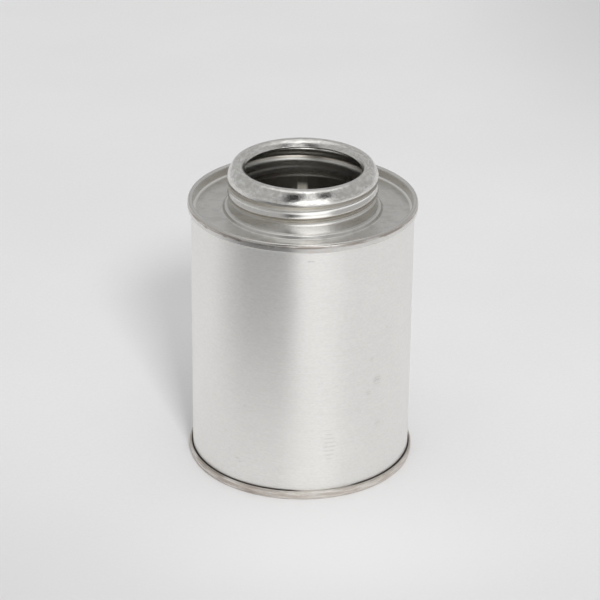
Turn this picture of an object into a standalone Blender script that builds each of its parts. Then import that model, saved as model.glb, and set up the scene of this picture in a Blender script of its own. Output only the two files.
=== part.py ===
# Tin can with a threaded neck: a rolled and welded body, a top drawn in one piece and a stamped bottom,
# joined by double seams. It stands on its bottom seam, with its axis on Z and its welded lap at +Y.

import math

import bmesh
import bpy

MM = 0.001

# Sheets
body_sheet = 0.22 * MM
end_sheet = 0.26 * MM

# Body
body_outer_radius = 33.17 * MM
height_over_seams = 83.5 * MM
lap_width = 1.4 * MM
lap_thickness = 0.16 * MM
lap_end_clearance = 0.5 * MM

# Double seams, the same at both ends
seam_height = 2.7 * MM
seam_layer_gap = 0.08 * MM
seam_corner_radius = 0.53 * MM
hook_end_clearance = 0.15 * MM
compound_thickness = 0.16 * MM
compound_width = 0.44 * MM

# Top end
top_countersink_depth = 3.1 * MM
countersink_corner_radius = 0.6 * MM
step_outer_radius = 23.5 * MM
step_height = 1.2 * MM
step_fillet_radius = 0.3 * MM
step_round_radius = 0.75 * MM
step_ledge_width = 1.45 * MM
neck_foot_fillet_radius = 0.65 * MM

# Neck and its rim, which slopes into the mouth and is hemmed; heights are above the top of the top seam
crest_rise = 0.35 * MM
rim_outer_radius = 22.45 * MM
wall_top_height = 0.3 * MM
crest_bottom_height = 2.2 * MM
shoulder_bottom_height = 6.9 * MM
shoulder_bend_inset = 0.25 * MM
shoulder_bend_height = 8.7 * MM
neck_height = 10.9 * MM
rim_land_radius = 19.45 * MM
rim_land_width = 0.4 * MM
rim_round_radius = 1.4 * MM
lip_round_radius = 2.0 * MM
lip_slope_angle = 60
lip_slope_length = 0.8 * MM
hem_radius = 0.45 * MM
hem_turn_angle = 180

# Thread: one groove, rolled in, which climbs to the right as the can is seen from the front
thread_pitch = 4.23 * MM
groove_depth = 0.62 * MM
groove_half_width = 1.95 * MM
groove_front_height = 4.92 * MM
groove_first_turn = -1.25
groove_full_from_turn = -1.0
groove_full_to_turn = 0.55
groove_last_turn = 0.8

# Bottom end
bottom_countersink_depth = 3.2 * MM
bottom_panel_radius = 27.0 * MM
bottom_panel_rise = 0.7 * MM
bottom_panel_round = 0.8 * MM

# Facets
turn_steps = 40
seam_bend_steps = 4
corner_steps = 3
shoulder_steps = 4
lip_steps = 4
hem_steps = 6
thread_row_height = 0.55 * MM

# Radii of the five layers of a seam, from the body outwards and inwards
hook_inner_radius = body_outer_radius + seam_layer_gap
body_hook_inner_radius = hook_inner_radius + end_sheet + seam_layer_gap
seam_wall_inner_radius = body_hook_inner_radius + body_sheet + seam_layer_gap
seam_outer_radius = seam_wall_inner_radius + end_sheet
body_inner_radius = body_outer_radius - body_sheet
chuck_wall_outer_radius = body_inner_radius - seam_layer_gap
chuck_wall_inner_radius = chuck_wall_outer_radius - end_sheet

# Radii of the neck's outside: its plain wall, the thread's crests and the pull of the shoulder's bend
neck_wall_radius = step_outer_radius - step_ledge_width
crest_radius = neck_wall_radius + crest_rise
shoulder_bend_radius = rim_outer_radius - shoulder_bend_inset

# Heights inside a seam, measured from the face of the seam towards the middle of the can
cover_bend_radius = (seam_outer_radius - hook_inner_radius) / 2
body_bend_radius = (body_hook_inner_radius - body_outer_radius) / 2
compound_near_depth = end_sheet + seam_layer_gap
compound_far_depth = compound_near_depth + compound_thickness
body_bend_depth = compound_far_depth + seam_layer_gap + body_sheet + body_bend_radius
cover_bend_depth = seam_height - cover_bend_radius
cover_hook_end_depth = body_bend_depth + hook_end_clearance
body_hook_end_depth = cover_bend_depth - hook_end_clearance


def arc(centre, radius, start, end, steps, height=None):
    """Points along a round or oval arc in the (radius, height) plane, with angles in degrees."""
    rise = radius if height is None else height
    points = []
    for step in range(steps + 1):
        angle = math.radians(start + (end - start) * step / steps)
        points.append((centre[0] + radius * math.cos(angle), centre[1] + rise * math.sin(angle)))
    return points


def joined(*stretches):
    """One path from several, without the points that two neighbours share."""
    path = []
    for stretch in stretches:
        for point in stretch:
            if not path or math.dist(point, path[-1]) > 0.001 * MM:
                path.append(point)
    return path


def left_side(path, distance):
    """The path moved to its left by a sheet's thickness, with mitred corners."""
    moved = []
    last = len(path) - 1
    for index, point in enumerate(path):
        before = path[max(index - 1, 0)]
        after = path[min(index + 1, last)]
        normals = []
        for start, end in ((before, point), (point, after)):
            length = math.dist(start, end)
            if length > 0:
                normals.append((-(end[1] - start[1]) / length, (end[0] - start[0]) / length))
        sum_x = sum(normal[0] for normal in normals)
        sum_y = sum(normal[1] for normal in normals)
        scale = distance * len(normals) / (sum_x * sum_x + sum_y * sum_y)
        moved.append((point[0] + sum_x * scale, point[1] + sum_y * scale))
    return moved


def sheet_section(path, thickness):
    """Closed outline of a bent sheet whose outside face follows the path and whose metal is on its left."""
    return path + left_side(path, thickness)[::-1]


def cover_seam_path(countersink_depth):
    """Outside face of an end's seam, as a top end: from its hook, round the seam, to the panel's edge."""
    turned = height_over_seams
    hook = [(hook_inner_radius, turned - cover_hook_end_depth)]
    low_bend = arc((seam_outer_radius - cover_bend_radius, turned - cover_bend_depth),
                   cover_bend_radius, -180, 0, seam_bend_steps)
    outer_corner = arc((seam_outer_radius - seam_corner_radius, turned - seam_corner_radius),
                       seam_corner_radius, 0, 90, corner_steps)
    inner_corner = arc((chuck_wall_inner_radius + seam_corner_radius, turned - seam_corner_radius),
                       seam_corner_radius, 90, 180, corner_steps)
    foot = arc((chuck_wall_inner_radius - countersink_corner_radius,
                turned - countersink_depth + countersink_corner_radius),
               countersink_corner_radius, 0, -90, corner_steps)
    return joined(hook, low_bend, outer_corner, inner_corner, foot)


def eased(start, bend, end, steps):
    """Points along a soft curve from start to end, drawn towards the bend between them."""
    points = []
    for step in range(steps + 1):
        share = step / steps
        rest = 1 - share
        points.append(tuple(rest * rest * start[axis] + 2 * rest * share * bend[axis] + share * share * end[axis]
                            for axis in (0, 1)))
    return points


def neck_radius(height):
    """Outside radius of the neck at a height above the seam, before the thread is rolled in."""
    if height > crest_bottom_height:
        share = (height - crest_bottom_height) / (shoulder_bottom_height - crest_bottom_height)
        return crest_radius + (rim_outer_radius - crest_radius) * share
    share = (height - wall_top_height) / (crest_bottom_height - wall_top_height)
    smooth = share * share * (3 - 2 * share)
    return neck_wall_radius + (crest_radius - neck_wall_radius) * smooth


def lip_path():
    """Outside face of the lip, from the rim's flat crown, down its slope and round the hem under it."""
    angle = 90 + lip_slope_angle
    cosine = math.cos(math.radians(angle))
    sine = math.sin(math.radians(angle))
    lip_round = arc((rim_land_radius, height_over_seams + neck_height - lip_round_radius),
                    lip_round_radius, 90, angle, lip_steps)
    slope_end = (lip_round[-1][0] - sine * lip_slope_length, lip_round[-1][1] + cosine * lip_slope_length)
    hem_centre = (slope_end[0] - cosine * hem_radius, slope_end[1] - sine * hem_radius)
    hem = arc(hem_centre, hem_radius, angle, angle + hem_turn_angle, hem_steps)
    return joined(lip_round, hem)


def neck_path():
    """Outside face of the neck, from its foot on the step, over the rim, to the end of the hem."""
    top = height_over_seams
    step_top = top - top_countersink_depth + step_height
    panel = top - top_countersink_depth
    step_foot = arc((step_outer_radius + step_fillet_radius, panel + step_fillet_radius),
                    step_fillet_radius, -90, -180, corner_steps - 1)
    step_round = arc((step_outer_radius - step_round_radius, step_top - step_round_radius),
                     step_round_radius, 0, 90, corner_steps)
    foot_radius = min(neck_foot_fillet_radius, step_ledge_width - step_round_radius)
    neck_foot = arc((neck_wall_radius + foot_radius, step_top + foot_radius), foot_radius, -90, -180, corner_steps)
    rows = math.ceil((shoulder_bottom_height - wall_top_height) / thread_row_height)
    wall = []
    for row in range(rows + 1):
        height = wall_top_height + (shoulder_bottom_height - wall_top_height) * row / rows
        wall.append((neck_radius(height), top + height))
    rim_edge = arc((rim_land_radius + rim_land_width, top + neck_height - rim_round_radius),
                   rim_round_radius, 45, 90, corner_steps - 1)
    shoulder = eased(wall[-1], (shoulder_bend_radius, top + shoulder_bend_height), rim_edge[0], shoulder_steps)
    return joined(step_foot, step_round, neck_foot, wall, shoulder, rim_edge, lip_path())


def groove_at(angle, height):
    """How far the thread's groove draws the neck in, at an angle from the front and a height above the seam."""
    draw = 0.0
    for whole_turn in (-2, -1, 0, 1):
        turn = angle / (2 * math.pi) + whole_turn
        if not groove_first_turn < turn < groove_last_turn:
            continue
        rise = min(1.0, (turn - groove_first_turn) / (groove_full_from_turn - groove_first_turn))
        fall = min(1.0, (groove_last_turn - turn) / (groove_last_turn - groove_full_to_turn))
        offset = (height - groove_front_height - thread_pitch * turn) / groove_half_width
        if abs(offset) < 1:
            fade = math.sin(math.pi / 2 * min(rise, fall)) ** 2
            draw = max(draw, groove_depth * fade * math.cos(math.pi / 2 * offset) ** 2)
    return draw


def roll_thread(mesh):
    """Draw the neck's wall in along the helical groove; the lip in the mouth stays round."""
    lip_reach = rim_land_radius + rim_round_radius
    lip_bottom = min(height for radius, height in lip_path()) - height_over_seams - end_sheet
    for vertex in mesh.verts:
        radius = math.hypot(vertex.co.x, vertex.co.y)
        height = vertex.co.z - height_over_seams
        on_lip = radius < lip_reach and height > lip_bottom
        if height > wall_top_height and not on_lip:
            angle = math.atan2(vertex.co.x, -vertex.co.y)
            share = 1 - groove_at(angle, height) / radius
            vertex.co.x *= share
            vertex.co.y *= share


def turned_mesh(outline, closed=True):
    """Turn an outline in the (radius, height) plane about Z into a closed solid."""
    mesh = bmesh.new()
    corners = [mesh.verts.new((radius, 0, height)) for radius, height in outline]
    pairs = list(zip(corners, corners[1:]))
    if closed:
        pairs.append((corners[-1], corners[0]))
    edges = [mesh.edges.new(pair) for pair in pairs]
    bmesh.ops.spin(mesh, geom=corners + edges, cent=(0, 0, 0), axis=(0, 0, 1),
                   angle=2 * math.pi, steps=turn_steps, use_merge=True)
    bmesh.ops.remove_doubles(mesh, verts=mesh.verts, dist=0.0001 * MM)
    bmesh.ops.recalc_face_normals(mesh, faces=mesh.faces)
    return mesh


def tin_material(name, colour, roughness, metallic=1.0):
    material = bpy.data.materials.new(name)
    material.use_nodes = True
    shader = material.node_tree.nodes["Principled BSDF"]
    shader.inputs["Base Color"].default_value = (*colour, 1.0)
    shader.inputs["Roughness"].default_value = roughness
    shader.inputs["Metallic"].default_value = metallic
    return material


def add_object(name, mesh, material):
    """Put a finished mesh into the scene as one named piece."""
    data = bpy.data.meshes.new(name)
    mesh.to_mesh(data)
    mesh.free()
    data.shade_smooth()
    data.set_sharp_from_angle(angle=math.radians(35))
    data.materials.append(material)
    piece = bpy.data.objects.new(name, data)
    bpy.context.scene.collection.objects.link(piece)
    return piece


def make_body(material):
    """The rolled body, with a hook at each end and the welded lap standing proud inside at the back."""
    top = height_over_seams
    bend_centre = body_outer_radius + body_bend_radius
    lap_low = bottom_countersink_depth + end_sheet + lap_end_clearance
    lap_high = top - top_countersink_depth - end_sheet - lap_end_clearance
    low_hook = [(body_hook_inner_radius, body_hook_end_depth)]
    low_bend = arc((bend_centre, body_bend_depth), body_bend_radius, 0, -180, seam_bend_steps)
    wall = [(body_outer_radius, lap_low), (body_outer_radius, lap_high)]
    high_bend = arc((bend_centre, top - body_bend_depth), body_bend_radius, 180, 0, seam_bend_steps)
    high_hook = [(body_hook_inner_radius, top - body_hook_end_depth)]
    path = joined(low_hook, low_bend, wall, high_bend, high_hook)
    mesh = turned_mesh(sheet_section(path, body_sheet))

    def is_lap_wall(face):
        centre = face.calc_center_median()
        radius = math.hypot(centre.x, centre.y)
        return lap_low < centre.z < lap_high and centre.y > 0 and radius < body_outer_radius - body_sheet / 2

    for side in (-1, 1):
        faces = [face for face in mesh.faces if is_lap_wall(face) and abs(face.calc_center_median().x) < lap_width * 3]
        parts = set(faces)
        for face in faces:
            parts.update(face.edges)
            parts.update(face.verts)
        bmesh.ops.bisect_plane(mesh, geom=list(parts), plane_co=(side * lap_width / 2, 0, 0), plane_no=(1, 0, 0))
    lap = [face for face in mesh.faces if is_lap_wall(face) and abs(face.calc_center_median().x) < lap_width / 2]
    raised = bmesh.ops.extrude_face_region(mesh, geom=lap)["geom"]
    bmesh.ops.delete(mesh, geom=lap, context="FACES")
    for item in raised:
        if isinstance(item, bmesh.types.BMVert):
            item.co.y -= lap_thickness
    bmesh.ops.recalc_face_normals(mesh, faces=mesh.faces)
    return add_object("body_cylinder", mesh, material)


def make_top(material):
    """The top end, one sheet from the seam's hook to the hemmed edge of the mouth."""
    path = joined(cover_seam_path(top_countersink_depth), neck_path())
    mesh = turned_mesh(sheet_section(path, end_sheet))
    roll_thread(mesh)
    return add_object("top_end", mesh, material)


def make_bottom(material):
    """The bottom end: the same seam, turned over, round a recessed panel with a raised middle."""
    seam = cover_seam_path(bottom_countersink_depth)
    panel = height_over_seams - bottom_countersink_depth
    low_round = arc((bottom_panel_radius + bottom_panel_round, panel - bottom_panel_round),
                    bottom_panel_round, 90, 135, corner_steps - 1)
    high_round = arc((low_round[-1][0] - (low_round[0][0] - low_round[-1][0]),
                      panel - bottom_panel_rise + bottom_panel_round),
                     bottom_panel_round, -45, -90, corner_steps - 1)
    centre = [(0.0, panel - bottom_panel_rise)]
    path = joined(seam, low_round, high_round, centre)
    section = left_side(path, end_sheet)[::-1] + path
    outline = [(radius, height_over_seams - height) for radius, height in section]
    return add_object("bottom_end", turned_mesh(outline, closed=False), material)


def make_compound(name, from_top, material):
    """A ring of sealing compound between a cover's top bend and the body hook under it."""
    middle = body_outer_radius + body_bend_radius
    near = compound_near_depth
    far = compound_far_depth
    if from_top:
        near = height_over_seams - near
        far = height_over_seams - far
    outline = [(middle - compound_width / 2, near), (middle + compound_width / 2, near),
               (middle + compound_width / 2, far), (middle - compound_width / 2, far)]
    return add_object(name, turned_mesh(outline), material)


def main():
    for leftover in list(bpy.data.objects):
        bpy.data.objects.remove(leftover)
    body_tin = tin_material("bright tinplate", (0.79, 0.79, 0.77), 0.30)
    end_tin = tin_material("end tinplate", (0.68, 0.67, 0.64), 0.34)
    compound = tin_material("sealing compound", (0.60, 0.56, 0.47), 0.75, metallic=0.0)
    make_body(body_tin)
    make_top(end_tin)
    make_bottom(end_tin)
    make_compound("top_seam_compound", True, compound)
    make_compound("bottom_seam_compound", False, compound)


main()
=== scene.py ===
import math

import bpy
from mathutils import Matrix, Vector, noise


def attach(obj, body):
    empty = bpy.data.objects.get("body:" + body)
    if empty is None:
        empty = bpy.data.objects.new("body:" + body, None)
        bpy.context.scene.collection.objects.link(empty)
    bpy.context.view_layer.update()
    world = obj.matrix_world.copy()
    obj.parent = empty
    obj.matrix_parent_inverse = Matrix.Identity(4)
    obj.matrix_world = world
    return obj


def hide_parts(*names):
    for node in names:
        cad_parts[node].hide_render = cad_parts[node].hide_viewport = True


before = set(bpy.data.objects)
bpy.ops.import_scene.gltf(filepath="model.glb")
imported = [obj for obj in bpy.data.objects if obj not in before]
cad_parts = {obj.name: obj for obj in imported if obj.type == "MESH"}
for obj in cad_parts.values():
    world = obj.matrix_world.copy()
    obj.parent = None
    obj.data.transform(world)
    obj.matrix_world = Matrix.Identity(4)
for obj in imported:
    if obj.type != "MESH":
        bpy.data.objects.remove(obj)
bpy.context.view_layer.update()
mm = 0.001
print("frame loaded")


# Sections are drawn in millimetres in the (radius, height) plane

def arc(centre, radius, start, end, steps):
    points = []
    for step in range(steps + 1):
        angle = math.radians(start + (end - start) * step / steps)
        points.append((centre[0] + radius * math.cos(angle), centre[1] + radius * math.sin(angle)))
    return points


def oval(centre, radius, height, start, end, steps):
    return [(centre[0] + radius * math.cos(angle), centre[1] + height * math.sin(angle))
            for angle in (math.radians(start + (end - start) * step / steps) for step in range(steps + 1))]


def line(start, end, steps):
    return [(start[0] + (end[0] - start[0]) * step / steps, start[1] + (end[1] - start[1]) * step / steps)
            for step in range(steps + 1)]


def eased(start, bend, end, steps):
    points = []
    for step in range(steps + 1):
        share = step / steps
        rest = 1 - share
        first, middle, last = rest * rest, 2 * rest * share, share * share
        points.append(tuple(first * start[axis] + middle * bend[axis] + last * end[axis] for axis in (0, 1)))
    return points


def joined(*stretches):
    path = []
    for stretch in stretches:
        for point in stretch:
            if not path or math.dist(point, path[-1]) > 0.002:
                path.append(point)
    return path


def leftSide(path, distance):
    moved = []
    last = len(path) - 1
    for index, point in enumerate(path):
        before, after = path[max(index - 1, 0)], path[min(index + 1, last)]
        normals = []
        for start, end in ((before, point), (point, after)):
            length = math.dist(start, end)
            if length > 0:
                normals.append((-(end[1] - start[1]) / length, (end[0] - start[0]) / length))
        sumX = sum(normal[0] for normal in normals)
        sumY = sum(normal[1] for normal in normals)
        scale = distance * len(normals) / (sumX * sumX + sumY * sumY)
        moved.append((point[0] + sumX * scale, point[1] + sumY * scale))
    return moved


def smooth(low, high, value):
    share = min(1.0, max(0.0, (value - low) / (high - low)))
    return share * share * (3 - 2 * share)


# Turning a section about Z, and picking parts of a mesh by their place

def selectOnly(piece, kind, wanted):
    bpy.ops.object.mode_set(mode="EDIT")
    bpy.ops.mesh.select_mode(type=kind)
    bpy.ops.mesh.select_all(action="DESELECT")
    bpy.ops.object.mode_set(mode="OBJECT")
    parts = piece.data.polygons if kind == "FACE" else piece.data.vertices
    for part in parts:
        if wanted(part):
            part.select = True
    bpy.ops.object.mode_set(mode="EDIT")


def turnPiece(name, outline, steps, closed=True):
    bpy.ops.object.select_all(action="DESELECT")
    bpy.ops.mesh.primitive_plane_add(size=0.01)
    piece = bpy.context.active_object
    piece.name = piece.data.name = name
    bpy.ops.object.mode_set(mode="EDIT")
    bpy.ops.mesh.select_mode(type="VERT")
    bpy.ops.mesh.merge(type="CENTER")   # down to one point, from which the section is drawn
    bpy.ops.transform.translate(value=(outline[0][0] * mm, 0, outline[0][1] * mm))
    for before, after in zip(outline, outline[1:]):
        move = ((after[0] - before[0]) * mm, 0, (after[1] - before[1]) * mm)
        bpy.ops.mesh.extrude_vertices_move(TRANSFORM_OT_translate={"value": move})
    if closed:
        last = len(outline) - 1
        selectOnly(piece, "VERT", lambda corner: corner.index in (0, last))
        bpy.ops.mesh.edge_face_add()
    bpy.ops.mesh.select_all(action="SELECT")
    bpy.ops.mesh.spin(steps=steps, angle=math.tau, center=(0, 0, 0), axis=(0, 0, 1))
    bpy.ops.mesh.select_all(action="SELECT")
    bpy.ops.mesh.remove_doubles(threshold=0.001 * mm)
    bpy.ops.mesh.select_all(action="SELECT")
    bpy.ops.mesh.normals_make_consistent(inside=False)
    bpy.ops.object.mode_set(mode="OBJECT")
    return piece


def finishPiece(piece, material, slotName, *nodes, sharpAngle=40):
    bpy.ops.object.select_all(action="DESELECT")
    piece.select_set(True)
    bpy.context.view_layer.objects.active = piece
    bpy.ops.object.shade_smooth_by_angle(angle=math.radians(sharpAngle))
    piece.data.materials.clear()
    piece.data.materials.append(material)
    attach(piece, "root")
    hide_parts(*nodes)
    print(piece.name, "done,", len(piece.data.polygons), "faces")


# Materials

def addNode(tree, kind, inputs=None, **settings):
    made = tree.nodes.new(kind)
    for key, value in settings.items():
        setattr(made, key, value)
    for socket, value in (inputs or {}).items():
        if isinstance(value, bpy.types.NodeSocket):
            tree.links.new(value, made.inputs[socket])
        else:
            made.inputs[socket].default_value = value
    return made


def maths(tree, operation, first, second=0.0, third=0.0):
    return addNode(tree, "ShaderNodeMath", {0: first, 1: second, 2: third}, operation=operation).outputs[0]


def vectorMaths(tree, operation, first, second=(0, 0, 0)):
    return addNode(tree, "ShaderNodeVectorMath", {0: first, 1: second}, operation=operation)


def product(tree, *values):
    total = values[0]
    for value in values[1:]:
        total = maths(tree, "MULTIPLY", total, value)
    return total


def blended(tree, *shares):   # sum of values, each times its share
    total = None
    for value, share in shares:
        part = maths(tree, "MULTIPLY", value, share)
        total = part if total is None else maths(tree, "ADD", total, part)
    return total


def ramp(tree, value, limits, results=(0.0, 1.0)):   # smooth, one result at each limit
    inputs = {"Value": value, "From Min": limits[0], "From Max": limits[1],
              "To Min": results[0], "To Max": results[1]}
    return addNode(tree, "ShaderNodeMapRange", inputs, interpolation_type="SMOOTHSTEP").outputs[0]


def edge(tree, value, limits, results=(0.0, 1.0)):   # a ramp with its limits in millimetres
    return ramp(tree, value, (limits[0] * mm, limits[1] * mm), results)


def band(tree, value, limits):   # 1 between two limits in millimetres, with soft ends
    low, high, soft = limits
    rising = edge(tree, value, (low - soft, low + soft))
    falling = edge(tree, value, (high + soft, high - soft))
    return product(tree, rising, falling)


def stretched(tree, coordinates, scale, detail=2.0, roughness=0.5, place=(0, 0, 0)):
    mapped = addNode(tree, "ShaderNodeMapping", {"Vector": coordinates, "Location": place, "Scale": scale})
    inputs = {"Vector": mapped.outputs[0], "Scale": 1.0, "Detail": detail, "Roughness": roughness}
    return addNode(tree, "ShaderNodeTexNoise", inputs).outputs["Fac"]


def mixColour(tree, amount, first, second):
    made = tree.nodes.new("ShaderNodeMix")
    made.data_type = "RGBA"
    for socket, value in ((made.inputs[0], amount), (made.inputs[6], first), (made.inputs[7], second)):
        if isinstance(value, bpy.types.NodeSocket):
            tree.links.new(value, socket)
        else:
            socket.default_value = value
    return made.outputs[2]


def addBump(tree, shader, height):   # height in millimetres
    bump = addNode(tree, "ShaderNodeBump", {"Height": height, "Distance": mm, "Strength": 1.0})
    tree.links.new(bump.outputs[0], shader.inputs["Normal"])


def newMaterial(name):
    material = bpy.data.materials.new(name)
    material.use_nodes = True
    tree = material.node_tree
    shader = tree.nodes["Principled BSDF"]
    coordinates = addNode(tree, "ShaderNodeTexCoord").outputs["Object"]
    return material, tree, shader, coordinates


def spot(tree, coordinates, place, size, core=0.3):   # 1 in the middle of a small mark, 0 outside it
    middle = tuple(value * mm for value in place)
    narrower = tuple(1 / (value * mm) for value in size)
    offset = vectorMaths(tree, "SUBTRACT", coordinates, middle).outputs[0]
    scaled = vectorMaths(tree, "MULTIPLY", offset, narrower).outputs[0]
    return ramp(tree, vectorMaths(tree, "LENGTH", scaled).outputs["Value"], (1.0, core))


def onWall(angle, height, radius):   # angle in degrees from the front to the right
    turn = math.radians(angle)
    return (radius * math.sin(turn), -radius * math.cos(turn), height)


def marks(tree, coordinates, places, radius):
    total = None
    for angle, height, width, tall, strength in places:
        mark = spot(tree, coordinates, onWall(angle, height, radius), (width, width, tall))
        mark = product(tree, mark, strength)
        total = mark if total is None else maths(tree, "MAXIMUM", total, mark)
    return total


def roundPlace(tree, coordinates):   # distance from the can's axis, and X, Y and Z apart
    parts = addNode(tree, "ShaderNodeSeparateXYZ", {0: coordinates})
    flat = vectorMaths(tree, "MULTIPLY", coordinates, (1, 1, 0)).outputs[0]
    radius = vectorMaths(tree, "LENGTH", flat).outputs["Value"]
    return radius, parts


def aroundCan(tree, radius, parts):   # coordinates in which marks run round the can
    along = maths(tree, "ADD", radius, parts.outputs["Z"])
    return addNode(tree, "ShaderNodeCombineXYZ", {0: parts.outputs["X"], 1: parts.outputs["Y"],
                                                  2: along}).outputs[0]


def azimuthOf(tree, parts):   # in degrees, 0 in front and positive to the right
    away = maths(tree, "MULTIPLY", parts.outputs["Y"], -1.0)
    return maths(tree, "MULTIPLY", maths(tree, "ARCTAN2", parts.outputs["X"], away), 180 / math.pi)


seamGapShade = {   # painted shade in the gap over the bottom seam, less of it at the front
    "colour": (0.13, 0.115, 0.10, 1), "lessShadePlace": onWall(14, 2.9, 33.17), "lessShadeSize": (13, 9, 3),
    "noShadeFrom": 0.8,
}


# painted shade: darkens the gap over the bottom seam, less at the front right
def paintSeamGapShade(tree, coordinates, colour, gap, strength):
    lessShade = spot(tree, coordinates, seamGapShade["lessShadePlace"], seamGapShade["lessShadeSize"])
    left = ramp(tree, lessShade, (0.0, seamGapShade["noShadeFrom"]), (strength, 0.0))
    return mixColour(tree, product(tree, gap, left), colour, seamGapShade["colour"])


bodyTin = {
    "light": (0.935, 0.925, 0.90, 1), "dark": (0.87, 0.86, 0.835, 1), "inside": (0.60, 0.58, 0.54, 1),
    "stain": (0.47, 0.45, 0.42, 1), "weld": (0.42, 0.38, 0.34, 1), "stripe": (0.82, 0.78, 0.68, 1),
    "speckleScale": (1000, 1000, 2200), "streakScale": (110, 110, 3600), "cloudScale": (70, 70, 45),
    "waveScale": (22, 22, 30), "toneRange": (0.36, 0.64), "brokenRange": (0.46, 0.58),
    "roughness": 0.33, "roughnessRange": (0.3, 0.7), "roughnessSpread": (-0.02, 0.04),
    "rougher": {"stain": 0.12, "stripe": 0.35, "weld": 0.1},
    "anisotropic": 0.75, "grainTurn": 0.25, "grainDepth": 0.004, "waveDepth": 0.012, "rippleDepth": 0.01,
    "ripplePlace": onWall(15, 17.5, 33.17), "rippleSize": (2.3, 2.3, 7), "rippleCore": 0.5,
    "rippleLines": 4600, "rippleBow": 7, "rippleStrength": 0.22,
    "insideEdge": (33.08, 33.03), "backEdge": (0, 1), "weldBand": (0.35, 0.95, 0.2), "weldStrength": 0.8,
    "stripeEdge": (1.9, 1.2), "weldWander": 0.3,
    "gapEdge": (3.15, 2.8), "gapWander": 0.2, "gapStrength": 0.8, "markRadius": 33.17,
    "stains": (   # angle from the front, height, half width, half height, strength
        (4.3, 77.9, 1.6, 0.45, 0.55), (-29.7, 28.8, 1.0, 0.4, 0.35), (-11.4, 9.3, 0.5, 0.5, 0.45),
        (49.2, 51.4, 0.7, 1.3, 0.4), (38.8, 43.2, 1.0, 1.6, 0.28), (42.6, 35.6, 2.2, 2.6, 0.34),
        (37.0, 32.5, 1.3, 1.5, 0.3), (43.5, 21.0, 1.6, 1.8, 0.28), (30.1, 27.8, 1.4, 1.2, 0.2),
        (-34.6, 10.4, 1.5, 0.5, 0.4), (-32.6, 9.5, 0.9, 0.35, 0.5), (118, 40, 2.4, 1.2, 0.3),
        (-128, 62, 1.5, 2.6, 0.25), (152, 24, 2.0, 0.8, 0.3), (-96, 17, 1.1, 1.5, 0.3),
    ),
}


def makeBodyTin():
    material, tree, shader, coordinates = newMaterial("brightTinplate")
    radius, parts = roundPlace(tree, coordinates)
    height = parts.outputs["Z"]
    speckle = stretched(tree, coordinates, bodyTin["speckleScale"], detail=2)
    streaks = stretched(tree, coordinates, bodyTin["streakScale"], detail=3, place=(3, 1, 2))
    cloud = stretched(tree, coordinates, bodyTin["cloudScale"], detail=4, roughness=0.6, place=(7, 2, 5))
    wave = stretched(tree, coordinates, bodyTin["waveScale"], detail=2, place=(1, 8, 3))
    tone = blended(tree, (speckle, 0.5), (streaks, 0.25), (cloud, 0.25))
    colour = mixColour(tree, ramp(tree, tone, bodyTin["toneRange"]), bodyTin["dark"], bodyTin["light"])

    stains = marks(tree, coordinates, bodyTin["stains"], bodyTin["markRadius"])
    broken = ramp(tree, blended(tree, (speckle, 0.5), (streaks, 0.5)), bodyTin["brokenRange"])
    stained = product(tree, stains, broken)
    colour = mixColour(tree, stained, colour, bodyTin["stain"])
    ripplePatch = spot(tree, coordinates, bodyTin["ripplePlace"], bodyTin["rippleSize"],
                       bodyTin["rippleCore"])
    bowed = blended(tree, (height, bodyTin["rippleLines"]), (cloud, bodyTin["rippleBow"]))
    ripple = product(tree, ripplePatch, maths(tree, "MAXIMUM", maths(tree, "SINE", bowed), 0.0))
    colour = mixColour(tree, product(tree, ripple, bodyTin["rippleStrength"]), colour, bodyTin["stain"])
    inside = edge(tree, radius, bodyTin["insideEdge"])
    colour = mixColour(tree, inside, colour, bodyTin["inside"])

    back = edge(tree, parts.outputs["Y"], bodyTin["backEdge"])   # the lap weld stands at the back
    wander = product(tree, cloud, bodyTin["weldWander"] * mm)
    aside = maths(tree, "ABSOLUTE", maths(tree, "ADD", parts.outputs["X"], wander))
    weld = product(tree, back, band(tree, aside, bodyTin["weldBand"]))
    colour = mixColour(tree, product(tree, weld, bodyTin["weldStrength"]), colour, bodyTin["weld"])
    stripe = product(tree, back, inside, edge(tree, aside, bodyTin["stripeEdge"]))
    colour = mixColour(tree, stripe, colour, bodyTin["stripe"])
    # painted shade in the gap just above the bottom seam
    gapHeight = blended(tree, (height, 1.0), (streaks, bodyTin["gapWander"] * mm))
    gap = edge(tree, gapHeight, bodyTin["gapEdge"])
    colour = paintSeamGapShade(tree, coordinates, colour, gap, bodyTin["gapStrength"])

    rougher = bodyTin["rougher"]
    uneven = ramp(tree, tone, bodyTin["roughnessRange"], bodyTin["roughnessSpread"])
    rough = blended(tree, (uneven, 1.0), (stained, rougher["stain"]), (stripe, rougher["stripe"]),
                    (weld, rougher["weld"]))
    tree.links.new(colour, shader.inputs["Base Color"])
    tree.links.new(maths(tree, "ADD", rough, bodyTin["roughness"]), shader.inputs["Roughness"])
    tree.links.new(maths(tree, "SUBTRACT", 1.0, stripe), shader.inputs["Metallic"])
    shader.inputs["Anisotropic"].default_value = bodyTin["anisotropic"]
    shader.inputs["Anisotropic Rotation"].default_value = bodyTin["grainTurn"]
    tangent = addNode(tree, "ShaderNodeTangent", direction_type="RADIAL", axis="Z")
    tree.links.new(tangent.outputs[0], shader.inputs["Tangent"])
    grain = bodyTin["grainDepth"]
    addBump(tree, shader, blended(tree, (speckle, grain), (streaks, grain), (wave, bodyTin["waveDepth"]),
                                  (ripple, bodyTin["rippleDepth"])))
    return material


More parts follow.
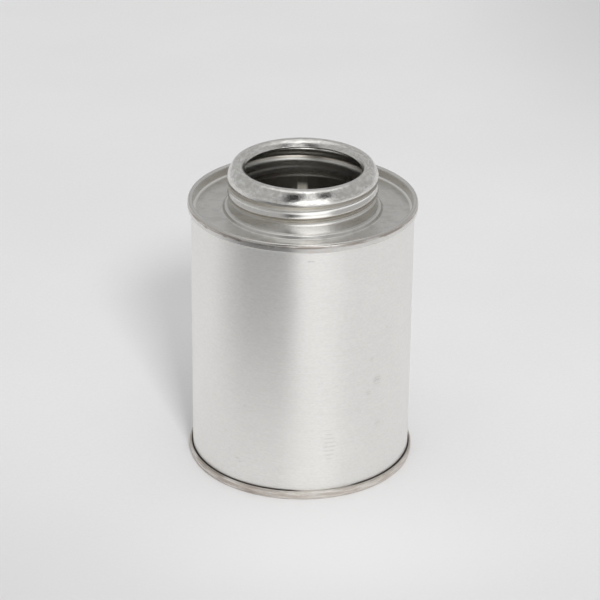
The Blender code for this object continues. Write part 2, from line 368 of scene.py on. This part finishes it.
endTin = {
    # wall is a painted shade colour on the countersink wall and the seam's top, and the colour of the dull
    # scuffs on the rim
    "light": (0.775, 0.765, 0.74, 1), "dark": (0.70, 0.69, 0.665, 1), "wall": (0.60, 0.57, 0.52, 1),
    "brown": (0.33, 0.28, 0.245, 1), "rosy": (0.74, 0.66, 0.60, 1), "base": (0.63, 0.575, 0.525, 1),
    # bright is the colour of painted highlight and painted light, and of the bright scuffs on the rim
    "worn": (0.82, 0.79, 0.745, 1), "bright": (0.97, 0.965, 0.94, 1), "patchy": (0.60, 0.585, 0.56, 1),
    # the colour of the painted shade along the thread's groove
    "grooveShade": (0.50, 0.44, 0.35, 1),
    "panelRoughness": 0.33, "neckRoughness": 0.24, "rimRoughness": 0.15,
    "rougher": {"lower": 0.08, "topEdge": 0.1, "neckInside": 0.12},
    "roughnessRange": (0.3, 0.7), "roughnessSpread": (-0.03, 0.04),
    "grainScale": (900, 900, 1700), "drawnScale": (90, 90, 2600), "cloudScale": (110, 110, 110),
    "blotchScale": (260, 260, 260), "wornScale": (160, 160, 1900), "scuffScale": (480, 480, 1700),
    "grainDepth": 0.003, "cloudDepth": 0.01, "scuffDepth": 0.07,
    "zones": {   # radius and height: two numbers are an edge, three a band and its softness
        "chuckWall": ((32.3, 32.9, 0.12), (80.6, 82.9, 0.3)), "panel": ((23.4, 32.0, 0.3), (80.2, 81.2, 0.2)),
        "corner": ((31.75, 32.55, 0.15), (80.2, 80.95, 0.15)), "seamTop": ((33.3, 33.6), (82.7, 83.1)),
        "neckInside": ((20.9, 21.95, 0.05), (81.0, 91.6, 0.3)), "lower": ((33.3, 33.5), (2.9, 2.6)),
        "topEdge": ((33.55, 33.85), (82.3, 83.05, 0.18)), "gap": ((33.75, 33.5), (1.5, 3.0, 0.05)),
    },
    "strength": {"chuckWall": 0.8, "blotches": 0.6, "seamTop": 0.35, "gap": 0.85, "scuffBright": 0.6,
                 "scuffDull": 0.5},
    "neckStart": (81.1, 81.4), "shoulder": (88.5, 90.0), "ledge": (88.0, 88.4), "neckEnd": (88.5, 88.0),
    "rimStart": (89.5, 91.5), "toneRange": (0.36, 0.64), "blotchRange": (0.46, 0.64),
    "streakRange": (0.40, 0.58), "wornRange": (0.42, 0.6),
    "stainRange": (0.3, 0.5), "rosyRange": (0.35, 0.6), "brightRange": (0.5, 0.62), "dullRange": (0.5, 0.38),
    "topEdgeSpread": (0.2, 0.9), "brownSide": (12, -22), "brownSpread": (0.10, 0.62),
    "grooveShadeRange": (0.3, 0.6), "grooveShadeSpread": (0.35, 0.75),
    "markRadius": 34.1,
    "topStains": (   # angle from the front, height, half width, half height, strength
        (-55, 82.4, 1.6, 0.7, 0.8), (44.5, 82.5, 1.3, 0.5, 1.0), (25.3, 82.6, 1.1, 0.5, 0.9),
        (13.6, 82.8, 0.9, 0.4, 0.7), (-32.7, 82.4, 1.6, 0.35, 1.0), (-41, 82.3, 1.4, 0.4, 0.7),
        (-21, 82.6, 2.4, 0.4, 0.6), (-8, 82.8, 2.6, 0.35, 0.7), (4, 82.8, 2.6, 0.3, 0.7),
        (70, 82.5, 1.5, 0.5, 0.7), (112, 82.4, 2.2, 0.6, 0.7), (163, 82.5, 1.8, 0.5, 0.6),
        (-98, 82.5, 1.7, 0.5, 0.7), (-150, 82.4, 2.4, 0.5, 0.7),
    ),
    "rosyMarks": (
        (4.6, 81.4, 2.6, 0.7, 0.6), (12.3, 81.4, 2.2, 0.6, 0.6), (-26, 81.6, 4, 0.7, 0.4),
        (38, 80.9, 2.6, 0.8, 0.7), (100, 81.3, 3, 0.8, 0.5), (-140, 81.4, 4, 0.7, 0.5),
    ),
}


def endZone(tree, radius, height, name):
    sides = [edge(tree, value, limits) if len(limits) == 2 else band(tree, value, limits)
             for value, limits in zip((radius, height), endTin["zones"][name])]
    return product(tree, sides[0], sides[1])


def makeEndTin():
    material, tree, shader, coordinates = newMaterial("endTinplate")
    radius, parts = roundPlace(tree, coordinates)
    around = aroundCan(tree, radius, parts)
    height = parts.outputs["Z"]
    strength = endTin["strength"]
    grain = stretched(tree, coordinates, endTin["grainScale"], detail=3, roughness=0.6)
    drawn = stretched(tree, around, endTin["drawnScale"], detail=3, place=(5, 3, 0))
    cloud = stretched(tree, coordinates, endTin["cloudScale"], detail=4, roughness=0.6, place=(4, 9, 1))
    tone = blended(tree, (grain, 0.35), (drawn, 0.25), (cloud, 0.4))
    colour = mixColour(tree, ramp(tree, tone, endTin["toneRange"]), endTin["dark"], endTin["light"])

    # painted shade on the countersink wall
    chuckWall = product(tree, endZone(tree, radius, height, "chuckWall"), strength["chuckWall"])
    colour = mixColour(tree, chuckWall, colour, endTin["wall"])
    blotch = stretched(tree, coordinates, endTin["blotchScale"], detail=4, roughness=0.65, place=(2, 6, 1))
    onPanel = endZone(tree, radius, height, "panel")
    blotches = product(tree, onPanel, ramp(tree, blotch, endTin["blotchRange"]), strength["blotches"])
    colour = mixColour(tree, blotches, colour, endTin["patchy"])
    # painted highlight on the panel's corner at the foot of the countersink wall, and painted light on the
    # neck's inner face
    corner = endZone(tree, radius, height, "corner")
    neckInside = endZone(tree, radius, height, "neckInside")
    colour = mixColour(tree, maths(tree, "MAXIMUM", corner, neckInside), colour, endTin["bright"])
    # painted shade that dims the highlight on the seam's top
    seamTop = product(tree, endZone(tree, radius, height, "seamTop"), strength["seamTop"])
    colour = mixColour(tree, seamTop, colour, endTin["wall"])

    streaky = ramp(tree, blended(tree, (drawn, 0.6), (cloud, 0.4)), endTin["streakRange"])
    topEdge = product(tree, endZone(tree, radius, height, "topEdge"),
                      ramp(tree, streaky, (0.0, 1.0), endTin["topEdgeSpread"]))
    stains = marks(tree, coordinates, endTin["topStains"], endTin["markRadius"])
    stained = product(tree, stains, ramp(tree, grain, endTin["stainRange"]))
    rosyMarks = marks(tree, coordinates, endTin["rosyMarks"], endTin["markRadius"])
    rosy = product(tree, rosyMarks, ramp(tree, grain, endTin["rosyRange"]))
    colour = mixColour(tree, rosy, colour, endTin["rosy"])
    colour = mixColour(tree, maths(tree, "MAXIMUM", topEdge, stained), colour, endTin["brown"])

    lower = endZone(tree, radius, height, "lower")   # the bottom seam is the more worn
    worn = stretched(tree, around, endTin["wornScale"], detail=4, roughness=0.65, place=(1, 2, 6))
    foot = mixColour(tree, ramp(tree, worn, endTin["wornRange"]), endTin["base"], endTin["worn"])
    colour = mixColour(tree, lower, colour, foot)
    toLeft = edge(tree, parts.outputs["X"], endTin["brownSide"], endTin["brownSpread"])
    colour = mixColour(tree, product(tree, lower, streaky, toLeft), colour, endTin["brown"])
    # painted shade in the gap at the top of the bottom seam
    gap = endZone(tree, radius, height, "gap")
    colour = paintSeamGapShade(tree, coordinates, colour, gap, strength["gap"])

    onRim = edge(tree, height, endTin["rimStart"])
    scuffs = stretched(tree, around, endTin["scuffScale"], detail=5, roughness=0.7, place=(8, 1, 4))
    scuffBright = ramp(tree, scuffs, endTin["brightRange"], (0.0, strength["scuffBright"]))
    colour = mixColour(tree, product(tree, onRim, scuffBright), colour, endTin["bright"])
    scuffDull = ramp(tree, scuffs, endTin["dullRange"], (0.0, strength["scuffDull"]))
    colour = mixColour(tree, product(tree, onRim, scuffDull), colour, endTin["wall"])
    # painted shade along the corners of the thread's groove
    grooveShade = addNode(tree, "ShaderNodeAttribute", attribute_name="grooveShade").outputs["Fac"]
    grooveShade = product(tree, grooveShade, ramp(tree, drawn, endTin["grooveShadeRange"], endTin["grooveShadeSpread"]))
    colour = mixColour(tree, grooveShade, colour, endTin["grooveShade"])
    tree.links.new(colour, shader.inputs["Base Color"])

    panel, rim = endTin["panelRoughness"], endTin["rimRoughness"]
    neck = edge(tree, height, endTin["neckStart"], (panel, endTin["neckRoughness"]))
    upper = edge(tree, height, endTin["shoulder"], (panel, rim))
    ledge = edge(tree, product(tree, neckInside, height), endTin["ledge"], (panel, rim))
    polish = maths(tree, "MINIMUM", neck, maths(tree, "MINIMUM", upper, ledge))
    dull = product(tree, neckInside, edge(tree, height, endTin["neckEnd"]))
    uneven = ramp(tree, tone, endTin["roughnessRange"], endTin["roughnessSpread"])
    rougher = endTin["rougher"]
    rough = blended(tree, (polish, 1.0), (uneven, 1.0), (lower, rougher["lower"]),
                    (topEdge, rougher["topEdge"]), (dull, rougher["neckInside"]))
    tree.links.new(rough, shader.inputs["Roughness"])
    shader.inputs["Metallic"].default_value = 1.0
    addBump(tree, shader, blended(tree, (grain, endTin["grainDepth"]), (drawn, endTin["grainDepth"]),
                                  (cloud, endTin["cloudDepth"]),
                                  (product(tree, onRim, scuffs), endTin["scuffDepth"])))
    return material


compoundLook = {
    "light": (0.62, 0.58, 0.49, 1), "dark": (0.52, 0.48, 0.40, 1), "lumpScale": (900, 900, 900),
    "lumpDepth": 0.03, "toneRange": (0.35, 0.65), "roughnessRange": (0.3, 0.7), "roughness": (0.65, 0.85),
}


def makeCompound():
    material, tree, shader, coordinates = newMaterial("sealingCompound")
    lumps = stretched(tree, coordinates, compoundLook["lumpScale"], detail=3)
    tone = ramp(tree, lumps, compoundLook["toneRange"])
    colour = mixColour(tree, tone, compoundLook["dark"], compoundLook["light"])
    rough = ramp(tree, lumps, compoundLook["roughnessRange"], compoundLook["roughness"])
    tree.links.new(colour, shader.inputs["Base Color"])
    tree.links.new(rough, shader.inputs["Roughness"])
    addBump(tree, shader, product(tree, lumps, compoundLook["lumpDepth"]))
    return material


bodyMaterial = makeBodyTin()
endMaterial = makeEndTin()
compoundMaterial = makeCompound()
print("materials made")


# Double seams, the same at both ends, in millimetres

seam = {
    "canHeight": 83.5, "bodyRadius": 33.17, "bodySheet": 0.22, "endSheet": 0.26, "height": 2.7,
    "topCountersink": 3.1, "bottomCountersink": 3.2, "layerGap": 0.08, "cornerRadius": 0.53,
    "cornerHeight": 1.0, "hookClearance": 0.15, "footRadius": 0.6, "boxClearance": 0.005,
    "compoundThickness": 0.16, "compoundWidth": 0.44, "compoundBulge": 0.02, "ringSteps": 160,
    "turnSteps": 240,
}
hookInner = seam["bodyRadius"] + seam["layerGap"]
bodyHookInner = hookInner + seam["endSheet"] + seam["layerGap"]
bodyHookOuter = bodyHookInner + seam["bodySheet"]
seamOuter = bodyHookOuter + seam["layerGap"] + seam["endSheet"] - seam["boxClearance"]
chuckInner = seam["bodyRadius"] - seam["bodySheet"] - seam["layerGap"] - seam["endSheet"]
coverBend = (seamOuter - hookInner) / 2
bodyBend = (bodyHookInner - seam["bodyRadius"]) / 2
compoundNear = seam["endSheet"] + seam["layerGap"]
compoundFar = compoundNear + seam["compoundThickness"]
bodyBendDepth = compoundFar + seam["layerGap"] + seam["bodySheet"] + bodyBend
coverBendDepth = seam["height"] - coverBend


def coverSeam(countersinkDepth):
    top = seam["canHeight"]
    corner = seam["cornerRadius"]
    foot = seam["footRadius"]
    hook = [(hookInner, top - bodyBendDepth - seam["hookClearance"])]
    lowBend = arc((seamOuter - coverBend, top - coverBendDepth), coverBend, -180, 0, 14)
    tall = seam["cornerHeight"]
    face = line((seamOuter, top - coverBendDepth), (seamOuter, top - tall), 4)
    outerCorner = oval((seamOuter - corner, top - tall), corner, tall, 0, 90, 12)
    innerCorner = arc((chuckInner + corner, top - corner), corner, 90, 180, 8)
    wall = line((chuckInner, top - corner), (chuckInner, top - countersinkDepth + foot), 4)
    bend = arc((chuckInner - foot, top - countersinkDepth + foot), foot, 0, -90, 8)
    return joined(hook, lowBend, face, outerCorner, innerCorner, wall, bend)


# Body: rolled sheet, hooked at each end and welded at the back

body = {
    "lapWidth": 1.4, "lapThickness": 0.16, "lapClearance": 0.5, "weldWidth": 0.9, "weldDepth": 0.03,
    "cutHalfWidth": 3, "wallEnd": 2.3, "rows": 34, "waviness": 0.02, "waveScale": 45, "flatEnd": 4,
    "wavyFrom": 12,
}


def makeBody():
    top = seam["canHeight"]
    radius = seam["bodyRadius"]
    bend = radius + bodyBend
    hookEnd = coverBendDepth - seam["hookClearance"]
    wallEnd = body["wallEnd"]
    lapLow = seam["bottomCountersink"] + seam["endSheet"] + body["lapClearance"]
    lapHigh = top - seam["topCountersink"] - seam["endSheet"] - body["lapClearance"]
    path = joined([(bodyHookInner, hookEnd)], arc((bend, bodyBendDepth), bodyBend, 0, -180, 10),
                  line((radius, wallEnd), (radius, lapLow), 2),
                  line((radius, lapLow), (radius, lapHigh), body["rows"]),
                  line((radius, lapHigh), (radius, top - wallEnd), 2),
                  arc((bend, top - bodyBendDepth), bodyBend, 180, 0, 10), [(bodyHookInner, top - hookEnd)])
    piece = turnPiece("body", path + leftSide(path, seam["bodySheet"])[::-1], seam["turnSteps"])
    inner = (radius - seam["bodySheet"] / 2) * mm

    def isWall(face, outside, low, high, halfWidth):
        centre = face.center
        return (low * mm < centre.z < high * mm and centre.y > 0 and abs(centre.x) < halfWidth * mm
                and (math.hypot(centre.x, centre.y) > inner) == outside)

    lap = (False, lapLow, lapHigh, body["lapWidth"], body["lapThickness"])   # raised inside
    weld = (True, wallEnd, top - wallEnd, body["weldWidth"], body["weldDepth"])   # sunk outside
    for outside, low, high, width, depth in (lap, weld):
        for side in (-1, 1):
            selectOnly(piece, "FACE", lambda face: isWall(face, outside, low, high, body["cutHalfWidth"]))
            bpy.ops.mesh.bisect(plane_co=(side * width / 2 * mm, 0, 0), plane_no=(1, 0, 0))
        selectOnly(piece, "FACE", lambda face: isWall(face, outside, low, high, width / 2))
        bpy.ops.mesh.extrude_region_move(TRANSFORM_OT_translate={"value": (0, -depth * mm, 0)})
        bpy.ops.object.mode_set(mode="OBJECT")
    flat, wavy = body["flatEnd"], body["wavyFrom"]
    for corner in piece.data.vertices:   # the sheet is never quite flat
        place = corner.co
        far = smooth(flat, wavy, place.z / mm) * smooth(top - flat, top - wavy, place.z / mm)
        push = 1 + far * body["waviness"] * mm * noise.noise(place * body["waveScale"]) / radius / mm
        place.x *= push
        place.y *= push
    finishPiece(piece, bodyMaterial, "body_tin", "body_cylinder", sharpAngle=30)


makeBody()


# Top end: seam, countersink, step and neck in one sheet

topEnd = {
    "stepRadius": 23.62, "stepHeight": 1.2, "stepFillet": 0.5, "stepRound": 0.7, "stepSlope": 24,
    "footRadius": 22.38, "footFillet": 0.15, "footTurn": 70, "wallRadius": 22.05, "crestRadius": 22.4,
    "rimRadius": 22.45, "wallTop": 0.3, "crestBottom": 2.2, "shoulderBottom": 6.9,
    "shoulderBend": (22.2, 8.7), "neckHeight": 10.895, "landRadius": 19.45, "landWidth": 0.4,
    "rimRound": 1.4, "rimStart": 45, "lipRound": 2.0, "lipSlope": 60, "slopeLength": 0.8,
    "hemRadius": 0.45, "hemTurn": 180, "rowHeight": 0.2,
}
thread = {
    "pitch": 4.23, "depth": 0.57, "halfWidth": 2.05, "frontHeight": 4.8, "sag": 0.7, "sagTurns": (0.15, 0.5),
    # the groove's painted shade sits at two places across the groove, with soft edges
    "fadeBelow": 0.1, "fadeTop": 1.8, "grooveShade": (0.6, -1.05), "grooveShadeEdge": (0.3, 0.05),
    "first": -1.25, "fullFrom": -1.0, "fullTo": 0.55, "last": 0.8,   # turns from the front
}


def neckRadius(height):
    if height > topEnd["crestBottom"]:
        share = (height - topEnd["crestBottom"]) / (topEnd["shoulderBottom"] - topEnd["crestBottom"])
        return topEnd["crestRadius"] + (topEnd["rimRadius"] - topEnd["crestRadius"]) * share
    rise = smooth(topEnd["wallTop"], topEnd["crestBottom"], height)
    return topEnd["wallRadius"] + (topEnd["crestRadius"] - topEnd["wallRadius"]) * rise


def neckPath():
    top = seam["canHeight"]
    panel = top - seam["topCountersink"]
    stepTop = panel + topEnd["stepHeight"]
    fillet, rounding, foot = topEnd["stepFillet"], topEnd["stepRound"], topEnd["footFillet"]
    lean = topEnd["stepSlope"]
    tilt = math.radians(lean)
    footCentre = (topEnd["stepRadius"] + fillet * math.cos(tilt), panel + fillet)
    stepFoot = arc(footCentre, fillet, -90, lean - 180, 7)
    rise = stepTop - rounding * (1 - math.sin(tilt)) - stepFoot[-1][1]
    crown = (stepFoot[-1][0] - rise * math.tan(tilt) - rounding * math.cos(tilt), stepTop - rounding)
    stepRound = arc(crown, rounding, lean, 90, 8)
    neckFoot = arc((topEnd["footRadius"] + foot, stepTop + foot), foot, -90, -90 - topEnd["footTurn"], 5)
    rows = math.ceil((topEnd["shoulderBottom"] - topEnd["wallTop"]) / topEnd["rowHeight"])
    wall = []
    for row in range(rows + 1):
        height = topEnd["wallTop"] + (topEnd["shoulderBottom"] - topEnd["wallTop"]) * row / rows
        wall.append((neckRadius(height), top + height))
    rimTop = top + topEnd["neckHeight"]
    rounding = topEnd["rimRound"]
    rimCentre = (topEnd["landRadius"] + topEnd["landWidth"], rimTop - rounding)
    rimEdge = arc(rimCentre, rounding, topEnd["rimStart"], 90, 8)
    bend = topEnd["shoulderBend"]
    shoulder = eased(wall[-1], (bend[0], top + bend[1]), rimEdge[0], 12)
    angle = 90 + topEnd["lipSlope"]
    cosine, sine = math.cos(math.radians(angle)), math.sin(math.radians(angle))
    lip = arc((topEnd["landRadius"], rimTop - topEnd["lipRound"]), topEnd["lipRound"], 90, angle, 16)
    slope = (lip[-1][0] - sine * topEnd["slopeLength"], lip[-1][1] + cosine * topEnd["slopeLength"])
    hemCentre = (slope[0] - cosine * topEnd["hemRadius"], slope[1] - sine * topEnd["hemRadius"])
    hem = arc(hemCentre, topEnd["hemRadius"], angle, angle + topEnd["hemTurn"], 16)
    return joined(stepFoot, stepRound, neckFoot, wall, shoulder, rimEdge, lip, hem)


def threadTurns(angle, height):   # place across the groove, from -1 to 1, and the groove's strength there
    turns = []
    for wholeTurn in (-2, -1, 0, 1):
        turn = angle / math.tau + wholeTurn
        if not thread["first"] < turn < thread["last"]:
            continue
        rise = min(1.0, (turn - thread["first"]) / (thread["fullFrom"] - thread["first"]))
        fall = min(1.0, (thread["last"] - turn) / (thread["last"] - thread["fullTo"]))
        sag = thread["sag"] * smooth(thread["sagTurns"][0], thread["sagTurns"][1], turn)
        middle = thread["frontHeight"] + thread["pitch"] * turn - sag
        offset = (height - middle) / thread["halfWidth"]
        fade = math.sin(math.pi / 2 * min(rise, fall)) ** 2
        risen = smooth(topEnd["wallTop"] - thread["fadeBelow"], thread["fadeTop"], height)
        turns.append((offset, fade * risen))
    return turns


def grooveAt(angle, height):
    return max([thread["depth"] * fade * math.cos(math.pi / 2 * offset) ** 2
                for offset, fade in threadTurns(angle, height) if abs(offset) < 1], default=0.0)


def grooveShadeAt(angle, height):   # painted shade in the corners on both sides of the groove
    outer, inner = thread["grooveShadeEdge"]
    turns = threadTurns(angle, height)
    return max([fade * smooth(outer, inner, abs(offset - middle)) for offset, fade in turns
                for middle in thread["grooveShade"]], default=0.0)


def makeTopEnd():
    path = joined(coverSeam(seam["topCountersink"]), neckPath())
    piece = turnPiece("topEnd", path + leftSide(path, seam["endSheet"])[::-1], seam["turnSteps"])
    inside = (topEnd["landRadius"] + topEnd["rimRound"]) * mm
    outside = (topEnd["rimRadius"] + seam["endSheet"]) * mm
    # painted shade for the groove's corners, kept on each vertex
    grooveShade = piece.data.attributes.new("grooveShade", "FLOAT", "POINT")
    for corner in piece.data.vertices:   # the thread is rolled in
        place = corner.co
        radius = math.hypot(place.x, place.y)
        height = place.z / mm - seam["canHeight"]
        if inside < radius < outside and height > topEnd["wallTop"]:
            angle = math.atan2(place.x, -place.y)
            share = 1 - grooveAt(angle, height) * mm / radius
            grooveShade.data[corner.index].value = grooveShadeAt(angle, height)
            place.x *= share
            place.y *= share
    finishPiece(piece, endMaterial, "end_tin", "top_end")


makeTopEnd()


# Bottom end: the same seam, turned over, round a recessed panel

bottomEnd = {"panelRadius": 27.0, "panelRise": 0.7, "panelRound": 0.8, "panelRows": (22, 17, 12, 7, 3, 0)}


def makeBottomEnd():
    top = seam["canHeight"]
    rounding = bottomEnd["panelRound"]
    panel = top - seam["bottomCountersink"]
    lowRound = arc((bottomEnd["panelRadius"] + rounding, panel - rounding), rounding, 90, 135, 6)
    shift = lowRound[0][0] - lowRound[-1][0]
    highCentre = (lowRound[-1][0] - shift, panel - bottomEnd["panelRise"] + rounding)
    highRound = arc(highCentre, rounding, -45, -90, 6)
    centre = [(radius, panel - bottomEnd["panelRise"]) for radius in bottomEnd["panelRows"]]
    path = joined(coverSeam(seam["bottomCountersink"]), lowRound, highRound, centre)
    section = leftSide(path, seam["endSheet"])[::-1] + path
    section[0] = (0, section[0][1])
    outline = [(radius, top - height) for radius, height in section]
    piece = turnPiece("bottomEnd", outline, seam["turnSteps"], closed=False)
    finishPiece(piece, endMaterial, "end_tin", "bottom_end")


makeBottomEnd()


# Rings of sealing compound, hidden in the seams

def makeCompoundRing(name, near, far, node):
    middle = seam["bodyRadius"] + bodyBend
    half, bulge = seam["compoundWidth"] / 2, seam["compoundBulge"]
    low, high = min(near, far), max(near, far)
    outline = [(middle - half, low), (middle + half, low), (middle + half + bulge, (low + high) / 2),
               (middle + half, high), (middle - half, high), (middle - half - bulge, (low + high) / 2)]
    piece = turnPiece(name, outline, seam["ringSteps"])
    finishPiece(piece, compoundMaterial, "sealing_compound", node)


topNear, topFar = seam["canHeight"] - compoundNear, seam["canHeight"] - compoundFar
makeCompoundRing("topSealingRing", topNear, topFar, "top_seam_compound")
makeCompoundRing("bottomSealingRing", compoundNear, compoundFar, "bottom_seam_compound")


# Floor

floorLook = {
    "size": 12, "colour": (0.86, 0.857, 0.862, 1), "fibre": (0.83, 0.827, 0.833, 1),
    "fibreScale": (900, 900, 900), "cloudScale": (14, 14, 14), "toneRange": (0.35, 0.65), "fibreDepth": 0.02,
    "roughness": 0.9, "specular": 0.2,
    "corners": (   # painted shade and painted light on the floor: place and half sizes in millimetres, colour at the middle, strength
        # painted shade: darker behind on the right, in front and front left
        ((155, 440, 0), (120, 330, 50), (0.68, 0.68, 0.685, 1), 0.9),
        ((-20, -190, 0), (420, 200, 60), (0.72, 0.72, 0.723, 1), 0.9),
        ((-140, -130, 0), (130, 170, 50), (0.68, 0.68, 0.683, 1), 0.9),
        # painted light: a lighter pool just in front of the can
        ((10, -55, 0), (75, 55, 50), (0.91, 0.908, 0.91, 1), 0.8),
    ),
}


def makeFloor():
    bpy.ops.object.select_all(action="DESELECT")
    bpy.ops.mesh.primitive_plane_add(size=floorLook["size"])
    floor = bpy.context.active_object
    floor.name = "paperFloor"
    material, tree, shader, coordinates = newMaterial("palePaper")
    fibres = stretched(tree, coordinates, floorLook["fibreScale"], detail=4, roughness=0.7)
    cloud = stretched(tree, coordinates, floorLook["cloudScale"], detail=3, place=(3, 5, 0))
    tone = ramp(tree, blended(tree, (fibres, 0.6), (cloud, 0.4)), floorLook["toneRange"])
    colour = mixColour(tree, tone, floorLook["fibre"], floorLook["colour"])
    # paints the floor's shaded and lit patches
    for place, size, shade, strength in floorLook["corners"]:
        amount = product(tree, spot(tree, coordinates, place, size, core=0.0), strength)
        colour = mixColour(tree, amount, colour, shade)
    tree.links.new(colour, shader.inputs["Base Color"])
    addBump(tree, shader, product(tree, fibres, floorLook["fibreDepth"]))
    shader.inputs["Roughness"].default_value = floorLook["roughness"]
    shader.inputs["Specular IOR Level"].default_value = floorLook["specular"]
    floor.data.materials.append(material)


makeFloor()


# Light: azimuth is measured from the camera's side to the right, in degrees

studio = {
    "keyAzimuth": 13, "keyElevation": 38, "keyDistance": 3.0, "keySize": 0.51, "keyPower": 37.0,
    "walls": 0.5, "darkest": 0.02, "background": (0.75, 0.75, 0.755, 1),
    "patches": (   # azimuth, half width, elevation, half height, softness, change of level
        (12, 28, 5, 16, 5, 1.2),        # low window in front
        (13, 6, 40, 18, 5, 0.6),        # gap between the two dark patches
        (-15, 11, 27, 17, 4, -1.2),     # dark patches beside the camera
        (37, 9, 34, 10, 4, -0.6),
        (12, 11, 65, 10, 6, 1.4),       # overhead softbox and the pale ceiling
        (10, 60, 72, 12, 8, 0.35),
        (180, 180, 90, 32, 10, 0.42),   # the whole ceiling
    ),
}


def direction(azimuth, elevation):
    turn, lift = math.radians(azimuth), math.radians(elevation)
    return Vector((math.sin(turn) * math.cos(lift), -math.cos(turn) * math.cos(lift), math.sin(lift)))


def makeStudio():
    toKey = direction(studio["keyAzimuth"], studio["keyElevation"])
    bpy.ops.object.light_add(type="AREA", location=toKey * studio["keyDistance"])
    key = bpy.context.active_object
    key.name = "softbox"
    key.rotation_mode = "QUATERNION"
    key.rotation_quaternion = toKey.to_track_quat("Z", "Y")
    key.data.shape = "SQUARE"
    key.data.size = studio["keySize"]
    key.data.energy = studio["keyPower"]
    key.visible_glossy = False   # the walls' patches are what the metal shows
    world = bpy.data.worlds.new("studioWalls")
    bpy.context.scene.world = world
    world.use_nodes = True
    tree = world.node_tree
    tree.nodes.clear()
    look = addNode(tree, "ShaderNodeTexCoord").outputs["Generated"]
    parts = addNode(tree, "ShaderNodeSeparateXYZ", {0: look})
    azimuth = azimuthOf(tree, parts)
    elevation = maths(tree, "MULTIPLY", maths(tree, "ARCSINE", parts.outputs["Z"]), 180 / math.pi)
    level = studio["walls"]
    for across, halfWidth, up, halfHeight, soft, change in studio["patches"]:
        turned = maths(tree, "WRAP", maths(tree, "SUBTRACT", azimuth, across), 180.0, -180.0)
        lifted = maths(tree, "SUBTRACT", elevation, up)
        wide = ramp(tree, maths(tree, "ABSOLUTE", turned), (halfWidth + soft, halfWidth - soft))
        high = ramp(tree, maths(tree, "ABSOLUTE", lifted), (halfHeight + soft, halfHeight - soft))
        level = maths(tree, "ADD", product(tree, wide, high, change), level)
    level = maths(tree, "MAXIMUM", level, studio["darkest"])
    walls = addNode(tree, "ShaderNodeBackground", {"Color": (1, 1, 1, 1), "Strength": level})
    backdrop = addNode(tree, "ShaderNodeBackground", {"Color": studio["background"], "Strength": 1.0})
    path = addNode(tree, "ShaderNodeLightPath")
    shown = addNode(tree, "ShaderNodeMixShader", {0: path.outputs["Is Camera Ray"], 1: walls.outputs[0],
                                                  2: backdrop.outputs[0]})
    addNode(tree, "ShaderNodeOutputWorld", {"Surface": shown.outputs[0]})


makeStudio()


flag = {   # a dark card on the floor, front left, that only the metal sees
    "size": 1.6, "lift": 0.0005, "left": (-100, -45), "right": (4, -14), "distance": (105, 207),
    "density": 0.88, "grey": 0.12,
}


def makeFlag():
    bpy.ops.object.select_all(action="DESELECT")
    bpy.ops.mesh.primitive_plane_add(size=flag["size"], location=(0, 0, flag["lift"]))
    card = bpy.context.active_object
    card.name = "greyFlag"
    material, tree, shader, coordinates = newMaterial("greyFlag")
    tree.nodes.remove(shader)
    azimuth = azimuthOf(tree, addNode(tree, "ShaderNodeSeparateXYZ", {0: coordinates}))
    distance = vectorMaths(tree, "LENGTH", coordinates).outputs["Value"]
    wide = product(tree, ramp(tree, azimuth, flag["left"]), ramp(tree, azimuth, flag["right"]))
    deep = edge(tree, distance, flag["distance"], (0.0, flag["density"]))
    grey = addNode(tree, "ShaderNodeEmission", {"Color": (1, 1, 1, 1), "Strength": flag["grey"]})
    clear = addNode(tree, "ShaderNodeBsdfTransparent")
    mixed = addNode(tree, "ShaderNodeMixShader", {0: product(tree, wide, deep), 1: clear.outputs[0],
                                                  2: grey.outputs[0]})
    tree.links.new(mixed.outputs[0], tree.nodes["Material Output"].inputs["Surface"])
    card.data.materials.append(material)
    card.visible_camera = card.visible_diffuse = card.visible_shadow = False


makeFlag()


# Camera, from the photograph's side

view = {
    "elevation": 25.9, "roll": 0.60, "lens": 150.84, "aside": 0.06, "above": -44.74, "ahead": 780.34,
    "sensorWidth": 36, "clipStart": 0.01,
}


def makeCamera():
    lift, roll = math.radians(view["elevation"]), math.radians(view["roll"])
    right, forward, up = (Vector((1, 0, 0)), Vector((0, math.cos(lift), -math.sin(lift))),
                          Vector((0, math.sin(lift), math.cos(lift))))
    across = right * math.cos(roll) + up * math.sin(roll)
    upright = up * math.cos(roll) - right * math.sin(roll)
    place = -(across * view["aside"] + upright * view["above"] + forward * view["ahead"]) * mm
    bpy.ops.object.camera_add(location=place)
    camera = bpy.context.active_object
    camera.name = "photoCamera"
    camera.matrix_world = Matrix((across, upright, -forward)).transposed().to_4x4()
    camera.location = place
    camera.data.lens = view["lens"]
    camera.data.sensor_width = view["sensorWidth"]
    camera.data.clip_start = view["clipStart"]
    bpy.context.scene.camera = camera


makeCamera()
bpy.context.scene.view_settings.view_transform = "Standard"
print("floor, light and camera placed")
